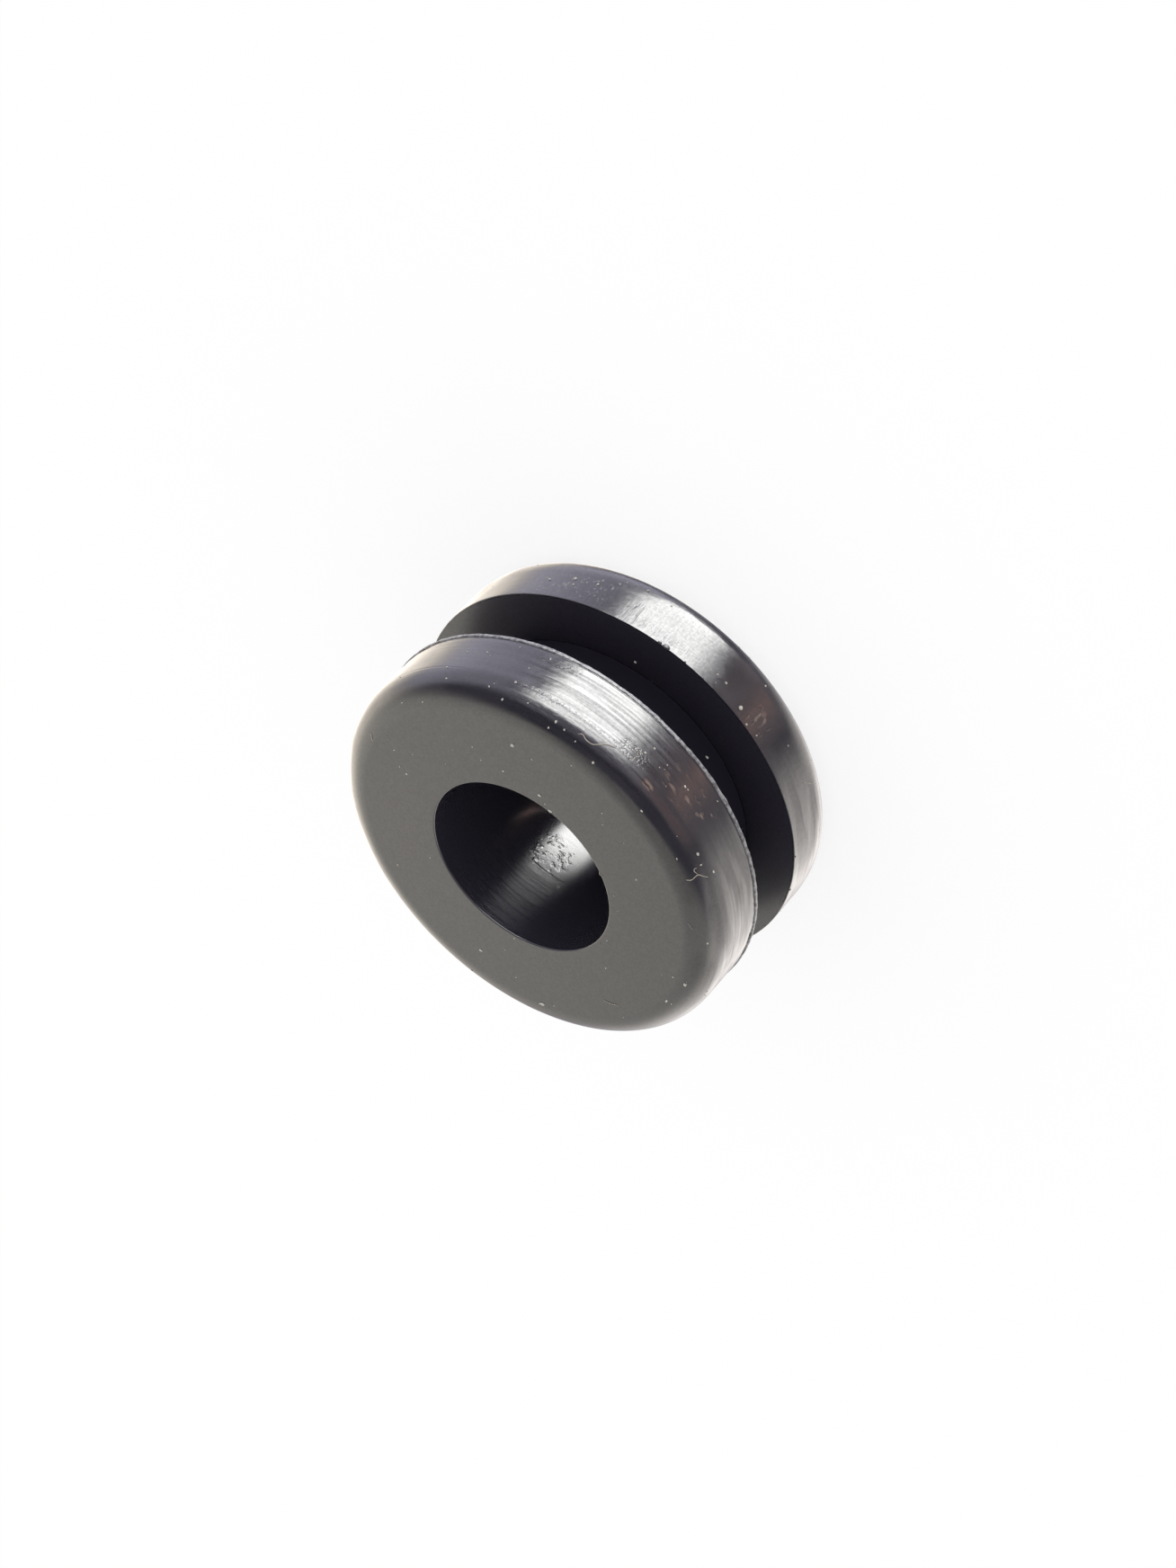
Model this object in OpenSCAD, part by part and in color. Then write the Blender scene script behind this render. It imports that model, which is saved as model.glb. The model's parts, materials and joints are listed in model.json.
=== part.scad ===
// Plug seal for a clutch cover: one moulded rubber ring with two round flanges,
// a groove between them that holds the edge of the hole in the cover, and a
// plain bore that grips the plug. It stands on its inner flange, axis along +Z.

/* [Flanges] */
// Diameter over both flanges
flange_d = 20; // [18.5:0.1:26]
// Thickness of the outer flange, on show when the seal is fitted
outer_flange_t = 3.75; // [2.5:0.05:6]
// Thickness of the inner flange, behind the cover
inner_flange_t = 3.45; // [2.5:0.05:6]
// Radius that rounds the outer flange into its face
outer_rim_r = 1.35; // [0.2:0.05:1.6]
// Radius that rounds the inner flange into its face
inner_rim_r = 1.45; // [0.2:0.05:1.6]

/* [Groove] */
// Width of the groove, for the thickness of the cover's wall
groove_w = 3.2; // [1.6:0.05:6]
// Diameter of the hub at the bottom of the groove, for the hole in the cover
hub_d = 14.9; // [12.5:0.1:17]
// Radius in the two bottom corners of the groove
groove_root_r = 0.2; // [0.05:0.05:0.6]

/* [Bore] */
// Diameter of the bore, which stretches over the plug
bore_d = 9.35; // [6:0.05:11]

/* [Parting line] */
// Width of the trimmed flash ring at the groove edge of the outer flange
flash_w = 0.2; // [0.1:0.05:0.5]
// Height that the flash ring stands proud of the flange
flash_h = 0.05; // [0.02:0.01:0.15]

/* [Hidden] */
$fn = 128;
flange_r = flange_d / 2;
hub_r = hub_d / 2;
bore_r = bore_d / 2;
outer_flange_z = inner_flange_t + groove_w;

// Half section of a plain ring, from the bore out to a radius.
module ring_section(outer_r, height) {
    translate([bore_r, 0])
        square([outer_r - bore_r, height]);
}

// Quarter of a disc in the first quadrant, the section of a rounded rim.
module quarter_disc(r) {
    intersection() {
        circle(r = r);
        square(r);
    }
}

// Half section of a flange that is flat below and rounded at its upper rim.
module flange_section(height, rim_r) {
    ring_section(flange_r - rim_r, height);
    ring_section(flange_r, height - rim_r);
    translate([flange_r - rim_r, height - rim_r])
        quarter_disc(rim_r);
}

// Hollow corner of the groove, which fills the angle of the first quadrant.
module root_section() {
    difference() {
        square(groove_root_r);
        translate([groove_root_r, groove_root_r])
            circle(r = groove_root_r);
    }
}

// Half section of the inner flange, which stands on its face.
module inner_flange_section() {
    translate([0, inner_flange_t])
        mirror([0, 1])
            flange_section(inner_flange_t, inner_rim_r);
}

// Half section of the hub, with both bottom corners of the groove.
module hub_section() {
    translate([0, inner_flange_t]) {
        ring_section(hub_r, groove_w);
        translate([hub_r, 0])
            root_section();
        translate([hub_r, groove_w])
            mirror([0, 1])
                root_section();
    }
}

// Half section of the outer flange, with the flash ring at its groove edge.
module outer_flange_section() {
    translate([0, outer_flange_z]) {
        flange_section(outer_flange_t, outer_rim_r);
        ring_section(flange_r + flash_h, flash_w);
    }
}

// The whole seal, moulded in one piece.
module plug_seal() {
    color("#242427")
        rotate_extrude() {
            inner_flange_section();
            hub_section();
            outer_flange_section();
        }
}

plug_seal();
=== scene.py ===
"""Looks of a black moulded rubber plug seal from a clutch cover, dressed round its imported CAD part.

The seal is one piece of rubber: two flanges with rounded outer rims, the groove that holds the edge of
the cover's hole, and a straight bore. It stands on its inner flange. This script turns the same section
as the CAD part with finer edges, and adds what the mould and the bench leave on such a seal: torn flash on
the parting line, tool marks in the skin, scuffs, dust and lint.

Shapes are modelled in millimetres and brought to metres when a piece is finished.
"""

import json
import logging
import math
import random
from collections.abc import Callable
from dataclasses import dataclass
from enum import Enum
from functools import reduce

import bmesh
import bpy
from mathutils import Matrix, Vector


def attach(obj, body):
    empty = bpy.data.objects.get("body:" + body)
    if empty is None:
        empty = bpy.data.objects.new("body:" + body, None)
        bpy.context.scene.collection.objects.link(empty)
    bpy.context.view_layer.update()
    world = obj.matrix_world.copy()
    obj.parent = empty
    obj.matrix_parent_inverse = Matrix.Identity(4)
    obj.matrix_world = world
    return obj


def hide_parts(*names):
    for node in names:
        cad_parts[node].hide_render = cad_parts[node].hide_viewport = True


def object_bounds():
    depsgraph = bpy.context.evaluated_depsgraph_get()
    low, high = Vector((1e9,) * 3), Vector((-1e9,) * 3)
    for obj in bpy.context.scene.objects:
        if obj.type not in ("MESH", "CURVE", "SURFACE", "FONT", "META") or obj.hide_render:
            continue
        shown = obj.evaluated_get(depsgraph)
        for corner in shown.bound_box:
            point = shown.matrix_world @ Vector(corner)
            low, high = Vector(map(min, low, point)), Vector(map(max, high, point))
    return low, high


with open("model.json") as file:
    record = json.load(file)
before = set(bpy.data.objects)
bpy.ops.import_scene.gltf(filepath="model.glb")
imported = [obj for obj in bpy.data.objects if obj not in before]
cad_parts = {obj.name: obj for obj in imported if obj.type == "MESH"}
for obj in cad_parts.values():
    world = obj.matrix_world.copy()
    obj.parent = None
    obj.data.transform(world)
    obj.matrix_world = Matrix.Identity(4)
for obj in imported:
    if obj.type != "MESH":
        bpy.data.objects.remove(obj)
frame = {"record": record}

LOG = logging.getLogger("plug_seal")

CAD_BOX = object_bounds()
BODY = "root"
CAD_NODE = "plug_seal"

MM = 0.001
FULL_DEGREES = 360.0
HALF_DEGREES = 180.0
TOUCH = 1e-4  # mm: how near a vertex counts as being on a line of the section
CUT_TOUCH = TOUCH / 10  # mm: how near a vertex counts as being on the plane of a cut
PLACES = 3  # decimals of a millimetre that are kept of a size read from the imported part

Tree = bpy.types.NodeTree
Socket = bpy.types.NodeSocket
Source = bpy.types.Node | Socket | float  # what can feed a node's input

MATH = "ShaderNodeMath"
VECTOR_MATH = "ShaderNodeVectorMath"
MIX = "ShaderNodeMix"
SHARE, COLOUR_A, COLOUR_B, COLOUR_OUT = 0, 6, 7, 2  # a colour mix's sockets, whose names aren't unique
MIX_SHADER = "ShaderNodeMixShader"
STEP = "ShaderNodeMapRange"
SMOOTH = {"interpolation_type": "SMOOTHSTEP"}  # how a step goes from its first level to its second

PLAIN, FAIR, FINE, FINEST = 1.0, 2.0, 3.0, 4.0  # how many finer layers a noise pattern has
LUMP_LAYERS = 1  # the same in the texture that lumps a surface
UNIT = 1.0  # mm: what a shape measures before it is brought to its size
GRAIN_CUTS = 2  # a grain is far too small to need a rounder start
WHITE = "#FFFFFF"


# --------------------------------------------------------------------------------------------------
# Small helpers
# --------------------------------------------------------------------------------------------------


def linear(hex_colour: str) -> tuple[float, float, float, float]:
    """Turns an sRGB hex colour to the linear colour that shaders take.

    Args:
        hex_colour: six hex digits with a leading hash.

    Returns:
        Red, green, blue and an alpha of one.
    """
    # These are the sRGB standard's own numbers.
    parts = [int(hex_colour[i : i + 2], 16) / 255 for i in (1, 3, 5)]
    bent = [p / 12.92 if p <= 0.04045 else ((p + 0.055) / 1.055) ** 2.4 for p in parts]
    return (bent[0], bent[1], bent[2], 1.0)


def add_node(
    tree: Tree, kind: str, inputs: dict | list | None = None, **settings: object
) -> bpy.types.Node:
    """Adds one node, with its settings, input values and links.

    Args:
        tree: the node tree that gets it.
        kind: the node's type name.
        inputs: a list in the order of the inputs, or a dict by their names or numbers. Each holds a
            plain value, an output socket, or a node whose first output feeds the input.
        **settings: the node's own properties.

    Returns:
        The new node.
    """
    made = tree.nodes.new(kind)
    for name, value in settings.items():
        setattr(made, name, value)
    pairs = enumerate(inputs) if isinstance(inputs, list) else (inputs or {}).items()
    for key, value in pairs:
        source = value.outputs[0] if isinstance(value, bpy.types.Node) else value
        if isinstance(source, Socket):
            tree.links.new(source, made.inputs[key])
        else:
            made.inputs[key].default_value = source
    return made


def on_surface(angle_deg: float, radius: float, height: float) -> Vector:
    """Places a point by its angle round the axis; zero degrees faces -Y and 90 faces +X."""
    turn = math.radians(angle_deg)
    return Vector((radius * math.sin(turn), -radius * math.cos(turn), height))


def deselect_all() -> None:
    """Leaves object mode clean, with nothing selected or active."""
    if bpy.context.object and bpy.context.object.mode != "OBJECT":
        bpy.ops.object.mode_set(mode="OBJECT")
    bpy.ops.object.select_all(action="DESELECT")


def select_objects(*pieces: bpy.types.Object) -> None:
    """Selects only these objects, in object mode, and makes the first one active.

    Args:
        *pieces: the objects.
    """
    deselect_all()
    for piece in pieces:
        piece.select_set(True)
    bpy.context.view_layer.objects.active = pieces[0]


def select_all_parts() -> None:
    """Selects the whole mesh in edit mode."""
    bpy.ops.mesh.select_all(action="SELECT")


def select_vertices(test: Callable[[Vector], bool]) -> None:
    """Selects the vertices of the mesh in edit mode that pass a test, and only those.

    Args:
        test: a function from a vertex's place to true or false.
    """
    mesh = bmesh.from_edit_mesh(bpy.context.object.data)
    bpy.ops.mesh.select_mode(type="VERT")
    bpy.ops.mesh.select_all(action="DESELECT")
    for vertex in mesh.verts:
        if test(vertex.co):
            vertex.select = True
    mesh.select_flush_mode()
    bmesh.update_edit_mesh(bpy.context.object.data)


def select_edges(test: Callable[[Vector, Vector], bool]) -> None:
    """Selects the edges of the mesh in edit mode whose two ends pass a test, and only those.

    Args:
        test: a function from the places of the two ends to true or false.
    """
    mesh = bmesh.from_edit_mesh(bpy.context.object.data)
    bpy.ops.mesh.select_mode(type="EDGE")
    bpy.ops.mesh.select_all(action="DESELECT")
    for edge in mesh.edges:
        first, second = edge.verts
        if test(first.co, second.co):
            edge.select = True
    mesh.select_flush_mode()
    bmesh.update_edit_mesh(bpy.context.object.data)


def apply_modifiers(piece: bpy.types.Object) -> None:
    """Applies a piece's modifiers in their order."""
    select_objects(piece)
    for modifier in list(piece.modifiers):
        bpy.ops.object.modifier_apply(modifier=modifier.name)


def flat_plate(width: float, height: float) -> bpy.types.Object:
    """Adds one flat face about the origin, still lying down, and goes into edit mode with all selected.

    Args:
        width: its size along X.
        height: its size along Y, which becomes Z once it stands.

    Returns:
        The mesh object.
    """
    deselect_all()
    bpy.ops.mesh.primitive_plane_add(size=UNIT)
    bpy.ops.object.mode_set(mode="EDIT")
    bpy.ops.transform.resize(value=(width, height, 1), center_override=(0, 0, 0))
    return bpy.context.object


def stand(plate: bpy.types.Object, out: float, up: float) -> None:
    """Stands a plate up in the XZ plane, with its middle at a radius and a height.

    Args:
        plate: the mesh object.
        out: the radius.
        up: the height.
    """
    bpy.ops.object.mode_set(mode="OBJECT")
    plate.rotation_euler = (math.pi / 2, 0, 0)
    plate.location = (out, 0, up)
    bpy.ops.object.transform_apply(location=True, rotation=True, scale=True)


def merge_faces() -> None:
    """Makes one face of all of a flat mesh in edit mode, with every point of its outline kept."""
    select_all_parts()
    bpy.ops.mesh.dissolve_faces(use_verts=False)


def keep_outline() -> None:
    """Takes the faces off the mesh in edit mode and leaves its edges."""
    select_all_parts()
    bpy.ops.mesh.delete(type="ONLY_FACE")


def turn_round_axis(outline: bpy.types.Object, steps: int) -> None:
    """Turns a closed outline in the XZ plane round the Z axis into a closed skin that faces outward.

    Args:
        outline: the mesh object that holds only the outline's edges.
        steps: how many steps the full turn has.
    """
    turn = outline.modifiers.new("turn", "SCREW")
    turn.steps = steps
    turn.render_steps = steps
    turn.use_merge_vertices = True
    turn.merge_threshold = TOUCH
    apply_modifiers(outline)
    bpy.ops.object.mode_set(mode="EDIT")
    select_all_parts()
    bpy.ops.mesh.remove_doubles(threshold=TOUCH)
    bpy.ops.mesh.normals_make_consistent(inside=False)
    bpy.ops.object.mode_set(mode="OBJECT")


class Way(Enum):
    """The way that lumps move a surface."""

    OUTWARD = "NORMAL"
    UPWARD = "Z"


def displace(
    piece: bpy.types.Object, size: float, height: float, group: str = "", way: Way = Way.OUTWARD
) -> None:
    """Gives a piece a modifier that lumps its surface.

    Args:
        piece: the mesh object, in millimetres.
        size: how far apart the lumps are.
        height: from the deepest hollow to the highest lump.
        group: the vertex group that it is kept to, or nothing for all of the piece.
        way: the way that the surface moves.
    """
    cloud = bpy.data.textures.new(f"{piece.name}_lumps", "CLOUDS")
    cloud.noise_scale = size
    cloud.noise_depth = LUMP_LAYERS
    lumps = piece.modifiers.new("lumps", "DISPLACE")
    lumps.texture = cloud
    lumps.texture_coords = "LOCAL"
    lumps.strength = height
    lumps.direction = way.value
    lumps.vertex_group = group


def join(pieces: list[bpy.types.Object]) -> bpy.types.Object:
    """Joins mesh objects into the first one.

    Args:
        pieces: the objects.

    Returns:
        The joined object.
    """
    select_objects(*pieces)
    bpy.ops.object.join()
    return pieces[0]


def finish_piece(piece: bpy.types.Object, name: str, material: bpy.types.Material) -> bpy.types.Object:
    """Names a piece, brings it from millimetres to metres and gives it its finish and its body.

    Args:
        piece: the mesh object, modelled in millimetres with its object at the origin.
        name: the piece's name.
        material: the finish of its first material slot.

    Returns:
        The same object.
    """
    select_objects(piece)
    piece.scale = (MM, MM, MM)
    bpy.ops.object.transform_apply(location=True, rotation=True, scale=True)
    piece.name = name
    piece.data.name = name
    if not piece.data.materials:
        piece.data.materials.append(material)
    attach(piece, BODY)
    LOG.info("%s: %d faces", name, len(piece.data.polygons))
    return piece


# --------------------------------------------------------------------------------------------------
# Where things are on the seal
# --------------------------------------------------------------------------------------------------


class Zone(Enum):
    """The seal's surfaces, each with what tells a spot's place along its section."""

    FACE = "outer face, by radius"
    OUTER_RIM = "outer flange's rounding, by degrees away from the face"
    OUTER_BAND = "outer flange's side, by height"
    GROOVE_WALL = "groove's lower wall, by radius"
    HUB = "groove's floor, by height"
    INNER_BAND = "inner flange's side, by height"
    INNER_RIM = "inner flange's rounding, by degrees below the side"
    BORE = "bore, by height"


@dataclass(frozen=True)
class Section:
    """The seal's half section, in millimetres.

    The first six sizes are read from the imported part, which doesn't state the roundings. The rims are
    rounded as in the CAD part. The groove's corners are sharper than its 0.2 mm, and the bore's and the
    groove's edges, which it leaves square, are softened a little.
    """

    flange_r: float
    height: float
    bore_r: float
    hub_r: float
    inner_flange_t: float
    outer_flange_t: float
    outer_rim_r: float = 1.35
    inner_rim_r: float = 1.45
    root_r: float = 0.02
    bore_edge_r: float = 0.07
    groove_edge_r: float = 0.035

    @property
    def groove_top(self) -> float:
        """Height of the groove's upper wall, where the parting line runs."""
        return self.height - self.outer_flange_t

    def spot(self, zone: Zone, angle: float, along: float, lift: float = 0.0) -> tuple[Vector, Vector]:
        """Finds a place on the seal and the way that its surface faces.

        Args:
            zone: the surface.
            angle: degrees round the axis; zero faces -Y and 90 faces +X.
            along: place along the section, as the zone says.
            lift: how far above the surface, in millimetres.

        Returns:
            The place in millimetres and the outward direction.
        """
        lean = math.radians(along)
        radius, height, out, up = {
            Zone.FACE: (along, self.height, 0, 1),
            Zone.OUTER_RIM: (
                self.flange_r - self.outer_rim_r * (1 - math.sin(lean)),
                self.height - self.outer_rim_r * (1 - math.cos(lean)),
                math.sin(lean),
                math.cos(lean),
            ),
            Zone.OUTER_BAND: (self.flange_r, along, 1, 0),
            Zone.GROOVE_WALL: (along, self.inner_flange_t, 0, 1),
            Zone.HUB: (self.hub_r, along, 1, 0),
            Zone.INNER_BAND: (self.flange_r, along, 1, 0),
            Zone.INNER_RIM: (
                self.flange_r - self.inner_rim_r * (1 - math.cos(lean)),
                self.inner_rim_r * (1 - math.sin(lean)),
                math.cos(lean),
                -math.sin(lean),
            ),
            Zone.BORE: (self.bore_r, along, -1, 0),
        }[zone]
        facing = on_surface(angle, out, up)
        return on_surface(angle, radius, height) + facing * lift, facing


def packed_section(flash_h: float = 0.05) -> Section:
    """Reads the seal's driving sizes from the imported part.

    Args:
        flash_h: how far the CAD part's flash ring stands out past its flanges, in millimetres.

    Returns:
        The section.
    """
    mounts = {mount["name"]: mount for mount in frame["record"]["mounts"]}
    groove = mounts["groove"]
    groove_middle = groove["pos_m"][2] / MM
    half_groove = groove["dims"]["length_mm"] / 2
    widest, height = CAD_BOX[1][0] / MM, CAD_BOX[1][2] / MM
    return Section(
        flange_r=round(widest - flash_h, PLACES),
        height=round(height, PLACES),
        bore_r=mounts["bore"]["dims"]["r_mm"],
        hub_r=groove["dims"]["r_mm"],
        inner_flange_t=round(groove_middle - half_groove, PLACES),
        outer_flange_t=round(height - groove_middle - half_groove, PLACES),
    )


SECTION = packed_section()


def grain_at(
    zone: Zone,
    angle: float,
    along: float,
    size: tuple[float, float, float],
    lump: float,
    lump_height: float,
) -> bpy.types.Object:
    """Models a lumpy grain that sits half sunk on the seal. Millimetres.

    Args:
        zone: the surface that it sits on.
        angle: degrees round the axis.
        along: place along the section, as the zone says.
        size: length round the seal, length along the section, and height.
        lump: how far apart its lumps are.
        lump_height: how high they are.

    Returns:
        The mesh object.
    """
    place, facing = SECTION.spot(zone, angle, along)
    deselect_all()
    bpy.ops.mesh.primitive_ico_sphere_add(subdivisions=GRAIN_CUTS, radius=UNIT / 2)
    grain = bpy.context.object
    bpy.ops.object.mode_set(mode="EDIT")
    bpy.ops.transform.resize(value=size, center_override=(0, 0, 0))
    bpy.ops.object.mode_set(mode="OBJECT")
    round_seal = on_surface(angle + 90, 1, 0)
    turned = Matrix((round_seal, facing.cross(round_seal), facing)).transposed()
    grain.matrix_world = Matrix.Translation(place) @ turned.to_4x4()
    bpy.ops.object.transform_apply(location=True, rotation=True, scale=True)
    displace(grain, lump, lump_height)
    apply_modifiers(grain)
    bpy.ops.object.shade_smooth()
    return grain


# --------------------------------------------------------------------------------------------------
# Patterns and masks
# --------------------------------------------------------------------------------------------------


def noise(tree: Tree, place: Source, sizes: tuple[float, float, float], detail: float = FAIR) -> Socket:
    """Adds noise whose blobs have a real size along each axis.

    Args:
        tree: the material's node tree.
        place: the place on the seal, in metres.
        sizes: length of a blob along X, Y and Z, in millimetres.
        detail: how many finer layers the noise has.

    Returns:
        The socket with the noise, about 0.5 on average.
    """
    scale = [1 / (MM * size) for size in sizes]
    mapped = add_node(tree, "ShaderNodeMapping", {"Vector": place, "Scale": scale})
    blobs = add_node(tree, "ShaderNodeTexNoise", {"Vector": mapped, "Scale": 1.0, "Detail": detail})
    return blobs.outputs["Fac"]


def even(size: float) -> tuple[float, float, float]:
    """Gives the sizes of a blob that is as long along each axis."""
    return (size, size, size)


def product(tree: Tree, *factors: Source) -> Source:
    """Multiplies any number of values, from the first to the last."""
    return reduce(lambda a, b: add_node(tree, MATH, [a, b], operation="MULTIPLY"), factors)


def total(tree: Tree, *terms: Source) -> Source:
    """Adds up any number of values, from the first to the last."""
    return reduce(lambda a, b: add_node(tree, MATH, [a, b], operation="ADD"), terms)


def band(tree: Tree, value: Source, centre: float, half: float, soft: float) -> bpy.types.Node:
    """Adds a mask that is one within a distance of a value and fades out over a soft edge.

    Args:
        tree: the material's node tree.
        value: what the mask goes by.
        centre: the middle of the band.
        half: how far from the middle the mask is half way down.
        soft: width of the fade.

    Returns:
        The node with the mask.
    """
    away = add_node(tree, MATH, [value, centre], operation="SUBTRACT")
    size = add_node(tree, MATH, [away], operation="ABSOLUTE")
    return add_node(tree, STEP, [size, half + soft / 2, half - soft / 2], **SMOOTH)


def polar(tree: Tree) -> tuple[Source, Source, Source, Source]:
    """Adds the seal's own coordinates.

    Args:
        tree: the material's node tree.

    Returns:
        The place in metres, the angle in degrees, and the radius and height in millimetres.
    """
    place = add_node(tree, "ShaderNodeTexCoord").outputs["Object"]
    axes = add_node(tree, "ShaderNodeSeparateXYZ", [place])
    back = product(tree, axes.outputs["Y"], -1.0)
    turn = add_node(tree, MATH, [axes.outputs["X"], back], operation="ARCTAN2")
    angle = product(tree, turn, math.degrees(1))
    flat = add_node(tree, VECTOR_MATH, [place, (1 / MM, 1 / MM, 0)], operation="MULTIPLY")
    radius = add_node(tree, VECTOR_MATH, [flat], operation="LENGTH").outputs["Value"]
    height = product(tree, axes.outputs["Z"], 1 / MM)
    return place, angle, radius, height


def new_material(name: str) -> tuple[bpy.types.Material, Tree]:
    """Starts an empty material.

    Args:
        name: the finish's name.

    Returns:
        The material and its node tree.
    """
    made = bpy.data.materials.new(name)
    made.use_nodes = True
    made.node_tree.nodes.clear()
    return made, made.node_tree


# --------------------------------------------------------------------------------------------------
# Finishes
# --------------------------------------------------------------------------------------------------


@dataclass(frozen=True)
class ToolLine:
    """One long, shallow line that a turning tool left in the mould, copied by the skin."""

    height: float  # mm above the bench
    start: float  # degrees round the axis
    end: float
    width: float = 0.07
    depth: float = 0.006


@dataclass(frozen=True)
class ScuffAndReflectionPatch:
    """A patch of small marks on a flange's side; the paled patch on the outer rounding is a painted
    reflection. Marks run round the seal, or up and down it.
    """

    angle: float  # degrees, centre
    height: float  # mm, centre
    angle_span: float
    height_span: float
    mark_round: float  # mm, a mark's length round the seal
    mark_up: float  # mm, a mark's length up the seal
    depth: float
    cut: float = 0.53  # share of the noise that makes no mark: higher is sparser
    pale: float = 0.0  # how far the rubber is abraded to its paler inside; on the outer rounding's warm streak, the strength of a painted reflection


@dataclass(frozen=True)
class Rubber:
    """What the seal's finishes share: the rubber's colour and index, and its shader's last nodes."""

    colour: str = "#1A1920"
    ior: float = 1.52

    def end(self, tree: Tree, height: Source, roughness: Source, **settings: object) -> None:
        """Joins relief, roughness and colour in one shader.

        Args:
            tree: the material's node tree.
            height: the relief in millimetres.
            roughness: a number, or the node that gives it.
            **settings: further inputs of the shader, with underscores for the spaces in their names.
        """
        metres = product(tree, height, MM)
        bump = add_node(tree, "ShaderNodeBump", {"Height": metres, "Strength": 1.0, "Distance": 1.0})
        inputs = {
            "Base Color": linear(self.colour),
            "IOR": self.ior,
            "Roughness": roughness,
            "Normal": bump,
            "Coat Normal": bump,
        }
        inputs.update({name.replace("_", " "): value for name, value in settings.items()})
        shader = add_node(tree, "ShaderNodeBsdfPrincipled", inputs)
        add_node(tree, "ShaderNodeOutputMaterial", {"Surface": shader})


@dataclass(frozen=True)
class MouldedSkin(Rubber):
    """Outside of the seal: black nitrile rubber, compression moulded in turned steel.

    It gives the eye a satin black that mirrors windows softly, broken by the mould's turning marks.
    Lengths are in millimetres and angles in degrees. A cut is the low and the high level between which
    a pattern's noise is stretched, so a narrow one gives clear marks.
    """

    roughness: float = 0.20
    roughness_spread: float = 0.06
    gloss: float = 0.5  # the shader's plain level for this index
    abraded_and_reflection_tone: str = "#8A7468"  # rubber scraped down to its filler, and the painted reflection on the outer rounding's warm streak
    blotch: float = 1.6  # patches that are handled more or less
    soft_cut: tuple[float, float] = (0.3, 0.7)
    grain: float = 0.11  # drawn coarser than the real pebble so that it shows
    grain_depth: float = 0.0006
    side_soft: float = 0.3  # in from the flange's side, where its rounding has taken over
    turning_pitch: float = 0.16  # between the mould's turning marks
    turning_run: float = 5.0  # along a mark before it fades
    turning_depth: float = 0.004
    turning_cut: tuple[float, float] = (0.36, 0.64)
    streak_dulling: float = 0.03  # share of the gloss that the turning marks add or take
    worn_dulling: float = 0.15  # the same, more, where the seal was pushed in
    worn_angle: float = 12.0
    worn_span: float = 44.0
    dimple: float = 0.16  # across the dents there
    dimple_long: float = 3.0  # how many times longer they are round the seal
    dimple_depth: float = 0.009
    mottle_dulling: float = 0.05
    flow_pitch: float = 0.62  # the wider streaks where the rubber met in the mould
    flow_run: float = 4.0
    flow_depth: float = 0.016
    flow_dulling: float = 0.26
    flow_angle: float = -64.0
    flow_span: float = 50.0
    flow_cut: tuple[float, float] = (0.38, 0.62)
    tick: float = 0.09  # width of the fine upright ticks on the inner flange
    tick_run: float = 0.6
    tick_dulling: float = 0.03
    tick_soft: float = 0.1  # either way from the inner flange's edge, where the ticks end
    groove_roughness: float = 0.28  # the groove is never handled, so it keeps the mould's dull surface
    groove_painted_light_colour: str = "#292730"  # painted light: the groove's walls are painted paler than the black, standing in for light that the groove's shade takes away
    groove_over: float = 0.03  # past the groove's walls, so that its mask takes them in
    groove_soft: float = 0.06
    groove_from: float = 0.02  # in from the flanges' sides, where the mask starts and where it is full
    groove_full: float = 0.10
    wall_from: float = 0.02  # out from the hub, where a groove wall starts and where it is clear of it
    wall_full: float = 0.08
    groove_light_reach: float = 0.5  # out from the hub, over which that painted light grows to full
    groove_light_hub_share: float = 0.5  # share of that painted light that the hub has
    corner_out: float = 0.035  # out from the hub, the middle of the dust that is packed in a corner
    corner_half: float = 0.045
    corner_soft: float = 0.03
    wave: float = 2.6  # the skin's gentle unevenness
    wave_depth: float = 0.006
    line_wander: float = 0.25  # how far a tool line strays in height
    line_wander_run: float = 3.0
    line_fade: float = 6.0  # degrees over which a tool line ends
    scuff_soft: float = 0.14  # of the noise, over which a mark's edge fades
    lines: tuple[ToolLine, ...] = (
        ToolLine(8.2, -6, 31),
        ToolLine(8.9, -2, 19),
        ToolLine(7.8, -4, 7),
        ToolLine(9.1, 50, 88, width=0.06),
        ToolLine(8.5, -74, -40, width=0.12, depth=0.004),
        ToolLine(8.0, -80, -46, width=0.12, depth=0.004),
    )
    scuffs: tuple[ScuffAndReflectionPatch, ...] = (
        ScuffAndReflectionPatch(25, 9.2, 12, 0.3, 0.12, 0.07, 0.012),
        ScuffAndReflectionPatch(11, 9.2, 18, 0.2, 0.12, 0.08, 0.010),
        ScuffAndReflectionPatch(28, 7.2, 10, 0.5, 0.30, 0.08, 0.010),
        ScuffAndReflectionPatch(-1, 8.9, 8, 0.7, 0.14, 0.10, 0.008),
        ScuffAndReflectionPatch(-16, 8.4, 10, 1.4, 0.70, 0.28, 0.014, 0.53, 0.45),
        ScuffAndReflectionPatch(-23, 8.0, 8, 1.2, 0.60, 0.30, 0.020, 0.60, 0.40),
        # Painted reflection: this warm streak on the outer rounding is painted paler in the colour, standing
        # in for a warm light mirrored there.
        ScuffAndReflectionPatch(-9, 9.5, 3, 0.26, 0.50, 0.09, 0.004, 0.42, 0.62),
        ScuffAndReflectionPatch(16, 3.0, 18, 0.6, 0.05, 0.30, 0.004),
        ScuffAndReflectionPatch(24, 2.8, 4, 1.2, 0.10, 0.90, 0.012),
        ScuffAndReflectionPatch(-19, 2.6, 6, 1.0, 0.25, 0.60, 0.014, 0.50, 0.55),
        ScuffAndReflectionPatch(44, 2.3, 20, 1.4, 0.14, 0.16, 0.020, 0.62),
    )

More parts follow.
